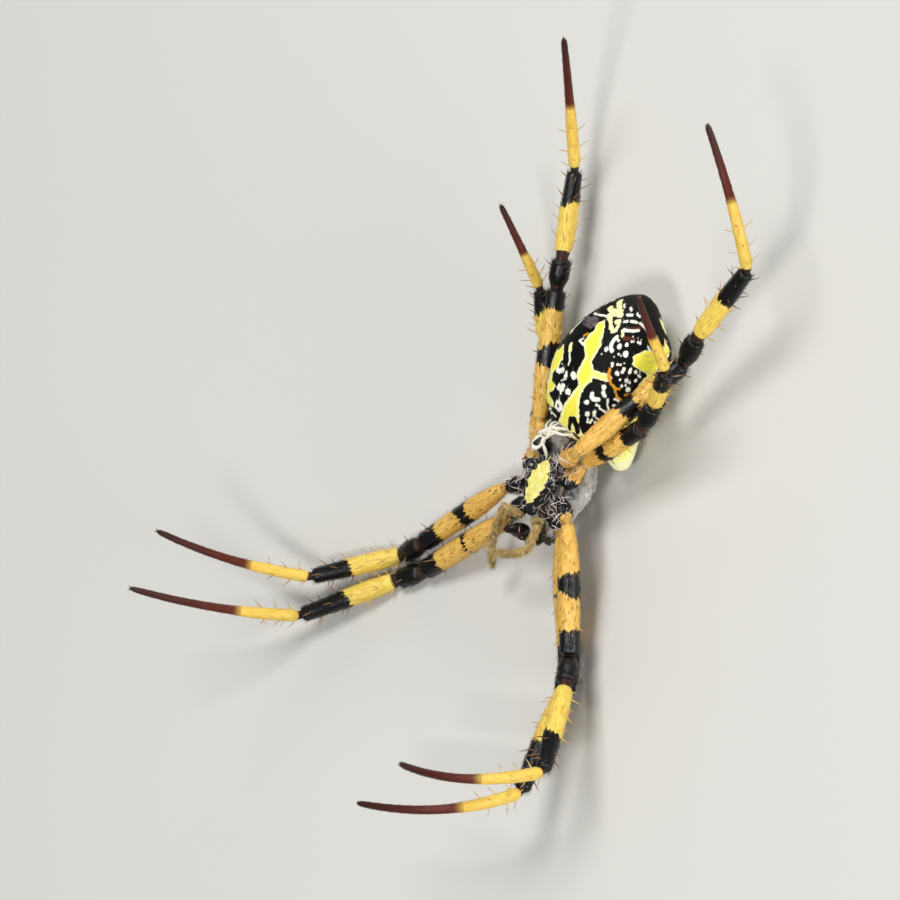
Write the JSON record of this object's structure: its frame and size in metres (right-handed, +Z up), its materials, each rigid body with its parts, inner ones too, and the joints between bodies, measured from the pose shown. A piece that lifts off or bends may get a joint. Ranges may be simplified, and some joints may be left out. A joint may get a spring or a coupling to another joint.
{
  "type": "orb weaver spider",
  "caption": "Banded garden orb weaver: small silver-haired front body, oval yellow and black abdomen and long banded legs, lying on its back in the pose in which it hangs.",
  "frame": {"origin": "middle of the model's bounding box at floor level", "axes": "+Z up, which is the spider's belly side because it lies on its back; +Y towards the spinnerets and the hind legs; +X towards the spider's right side"},
  "size_m": [0.0396, 0.0586, 0.0164],
  "materials": {
    "carapace": "dark skin under short silver-white hair",
    "sternum": "black with a jagged lemon-yellow patch",
    "abdomen": "satin skin, yellow stripes and white spots on black below, pale yellow and black bands above",
    "coxa": "black-brown with white hairs, orange on the hind legs",
    "femur": "orange-yellow with black bands",
    "patella": "glossy black",
    "tibia": "lemon-yellow near half, glossy black far half",
    "foot": "yellow base, then dark red-brown",
    "palp": "golden brown, hairy",
    "chelicera": "glossy dark brown",
    "fang": "polished dark red-brown",
    "spinnerets": "violet-brown",
    "epigyne": "cream-white ring with a dark middle",
    "eye": "polished black"
  },
  "bodies": {
    "root": {"carapace": "carapace", "sternum": "sternum", "pedicel": "coxa", "abdomen": "abdomen", "epigyne": "epigyne", "spinnerets": "spinnerets", "eye_anterior_median_right": "eye", "eye_posterior_median_right": "eye", "eye_anterior_lateral_right": "eye", "eye_posterior_lateral_right": "eye", "chelicera_right": "chelicera", "fang_right": "fang", "palp_right": "palp", "leg_1_right_coxa": "coxa", "leg_1_right_femur": "femur", "leg_1_right_patella": "patella", "leg_1_right_tibia": "tibia", "leg_1_right_foot": "foot", "leg_2_right_coxa": "coxa", "leg_2_right_femur": "femur", "leg_2_right_patella": "patella", "leg_2_right_tibia": "tibia", "leg_2_right_foot": "foot", "leg_3_right_coxa": "coxa", "leg_3_right_femur": "femur", "leg_3_right_patella": "patella", "leg_3_right_tibia": "tibia", "leg_3_right_foot": "foot", "leg_4_right_coxa": "coxa", "leg_4_right_femur": "femur", "leg_4_right_patella": "patella", "leg_4_right_tibia": "tibia", "leg_4_right_foot": "foot", "eye_anterior_median_left": "eye", "eye_posterior_median_left": "eye", "eye_anterior_lateral_left": "eye", "eye_posterior_lateral_left": "eye", "chelicera_left": "chelicera", "fang_left": "fang", "palp_left": "palp", "leg_1_left_coxa": "coxa", "leg_1_left_femur": "femur", "leg_1_left_patella": "patella", "leg_1_left_tibia": "tibia", "leg_1_left_foot": "foot", "leg_2_left_coxa": "coxa", "leg_2_left_femur": "femur", "leg_2_left_patella": "patella", "leg_2_left_tibia": "tibia", "leg_2_left_foot": "foot", "leg_3_left_coxa": "coxa", "leg_3_left_femur": "femur", "leg_3_left_patella": "patella", "leg_3_left_tibia": "tibia", "leg_3_left_foot": "foot", "leg_4_left_coxa": "coxa", "leg_4_left_femur": "femur", "leg_4_left_patella": "patella", "leg_4_left_tibia": "tibia", "leg_4_left_foot": "foot"}
  },
  "joints": []
}
